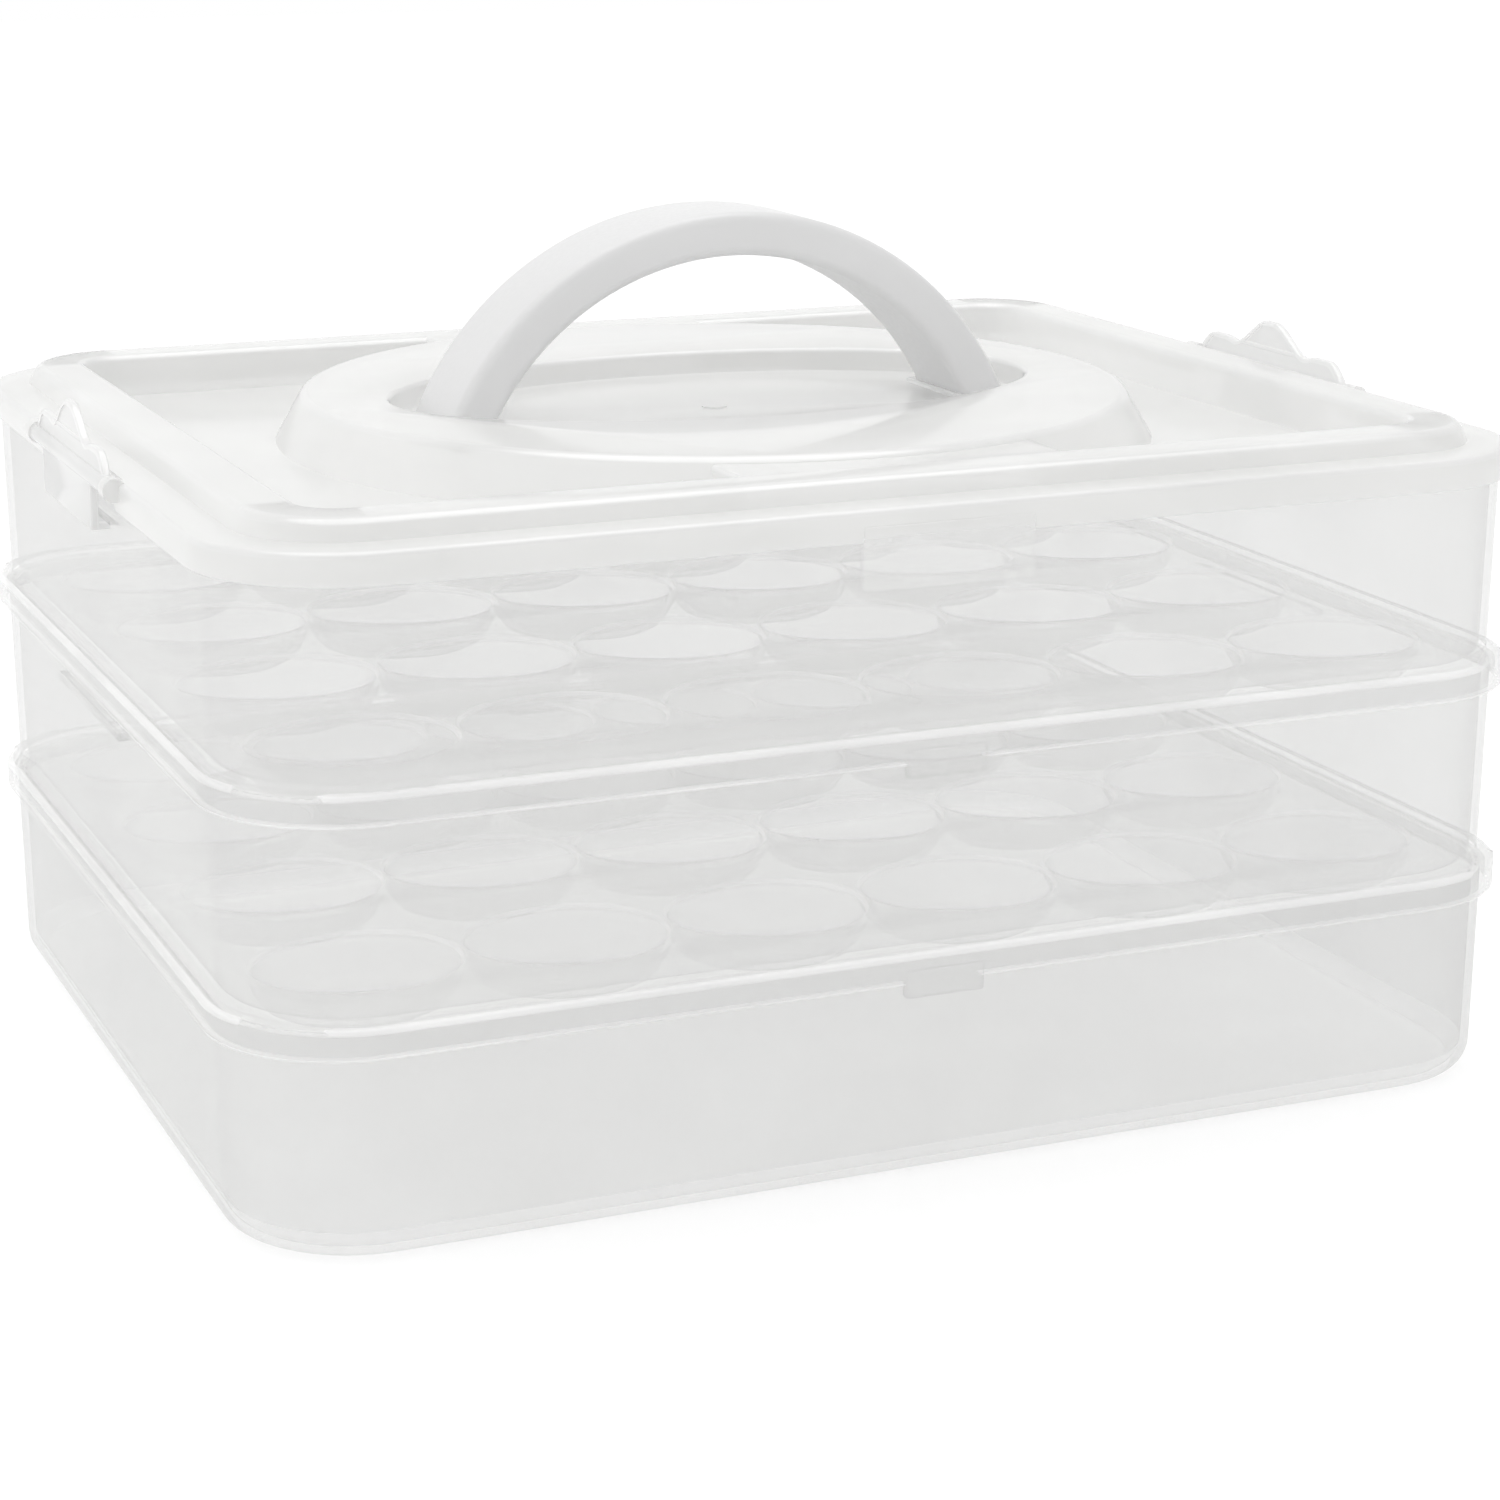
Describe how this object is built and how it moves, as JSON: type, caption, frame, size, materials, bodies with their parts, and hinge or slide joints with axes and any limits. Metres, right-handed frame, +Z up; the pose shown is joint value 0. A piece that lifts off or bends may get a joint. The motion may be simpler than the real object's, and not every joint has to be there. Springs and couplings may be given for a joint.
{
  "type": "egg carrier",
  "caption": "Stacking clear plastic egg carrier with a deep base box, hollowed egg trays, a lid held by side latches and a white arched carrying handle.",
  "frame": {"origin": "centre of the bounding box's underside, the middle of the base box's flat bottom", "axes": "+X along the long side, +Z up, the front face towards -Y"},
  "size_m": [0.3112, 0.256, 0.1945],
  "materials": {
    "frosted_clear": "clear, slightly frosted moulded plastic",
    "handle_white": "satin white moulded plastic"
  },
  "bodies": {
    "carrier": {"base_box": "frosted_clear", "egg_tray_lower": "frosted_clear", "egg_tray_upper": "frosted_clear", "lid": "frosted_clear", "carry_handle": "handle_white"},
    "latch_left": {"side_latch_left": "frosted_clear"},
    "latch_right": {"side_latch_right": "frosted_clear"}
  },
  "joints": [
    {"name": "latch_left_rock", "type": "hinge", "parent": "carrier", "child": "latch_left", "pos_m": [-0.153, 0, 0.1455], "axis": [0, 1, 0], "range_deg": [0, 40]},
    {"name": "latch_right_rock", "type": "hinge", "parent": "carrier", "child": "latch_right", "pos_m": [0.153, 0, 0.1455], "axis": [0, -1, 0], "range_deg": [0, 40]}
  ]
}
